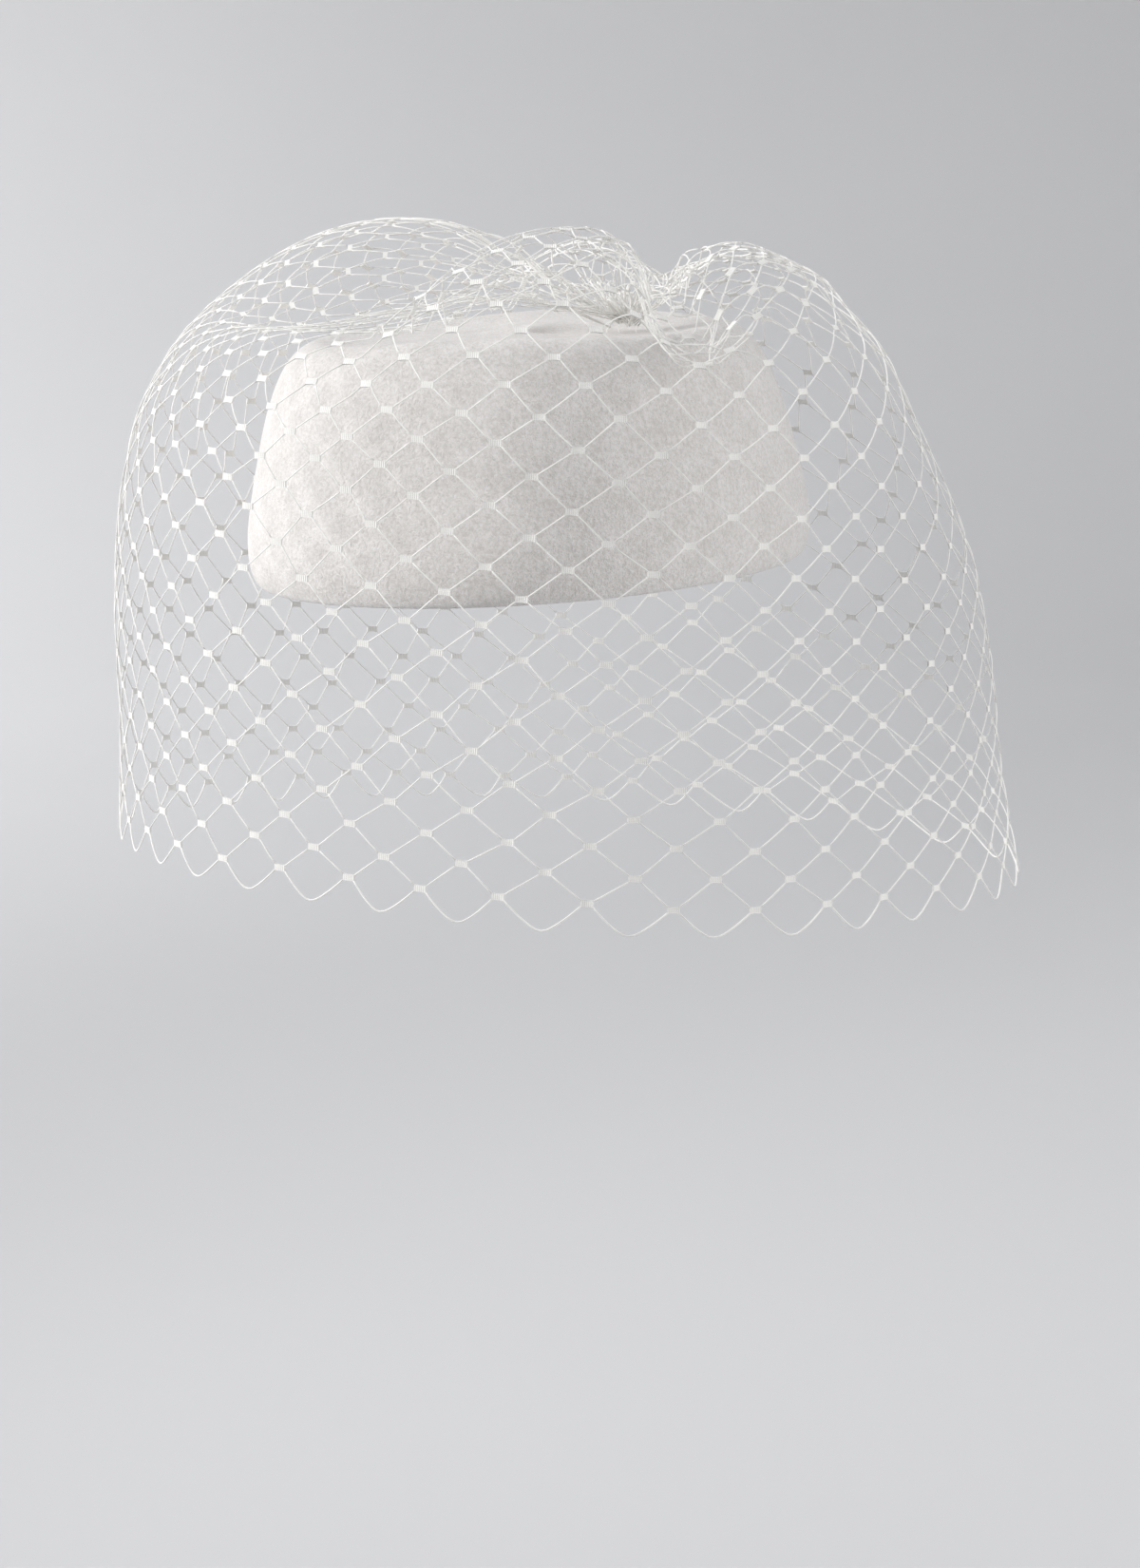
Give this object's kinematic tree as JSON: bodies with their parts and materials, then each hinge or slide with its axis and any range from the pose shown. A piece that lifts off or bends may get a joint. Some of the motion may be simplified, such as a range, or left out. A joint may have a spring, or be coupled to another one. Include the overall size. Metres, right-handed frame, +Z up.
{
  "type": "veiled pillbox hat",
  "caption": "Oval felt pillbox hat with a gathered birdcage veil of coarse diamond netting that puffs over the crown and hangs to the cheek.",
  "frame": {"origin": "centre of the head opening, in the plane of the felt's bottom edge, as the hat sits on an upright head", "axes": "+Z up, -Y towards the hat's front, +X towards the wearer's left"},
  "size_m": [0.2653, 0.2889, 0.2347],
  "materials": {
    "felt": "white wool felt, softly fuzzy and matt",
    "netting": "off-white diamond netting with a woven knot at each crossing"
  },
  "bodies": {
    "root": {"felt_crown": "felt", "veil": "netting"}
  },
  "joints": []
}
